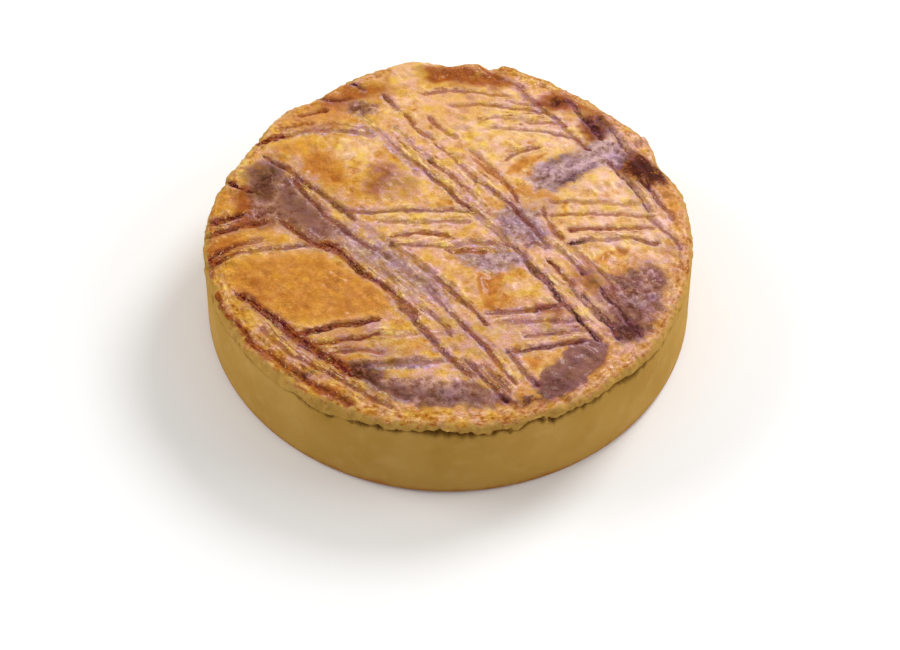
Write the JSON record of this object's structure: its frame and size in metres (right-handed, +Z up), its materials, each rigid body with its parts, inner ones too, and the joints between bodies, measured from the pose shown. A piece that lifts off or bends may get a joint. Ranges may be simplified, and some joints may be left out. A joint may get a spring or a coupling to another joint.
{
  "type": "round shortbread cake",
  "caption": "Tall round shortbread cake, baked in a ring: a straight pale side, a split seam under the lid, and a glazed brown top scored with fork lines.",
  "frame": {"origin": "middle of the flat underside", "axes": "+Z up through the cake, -Y towards the front, +X to the right"},
  "size_m": [0.2208, 0.2208, 0.0498],
  "materials": {
    "baked_crust": "baked dough, glossy amber egg glaze on top, dull sandy crumb at the side"
  },
  "bodies": {
    "root": {"shortbread_cake": "baked_crust"}
  },
  "joints": []
}
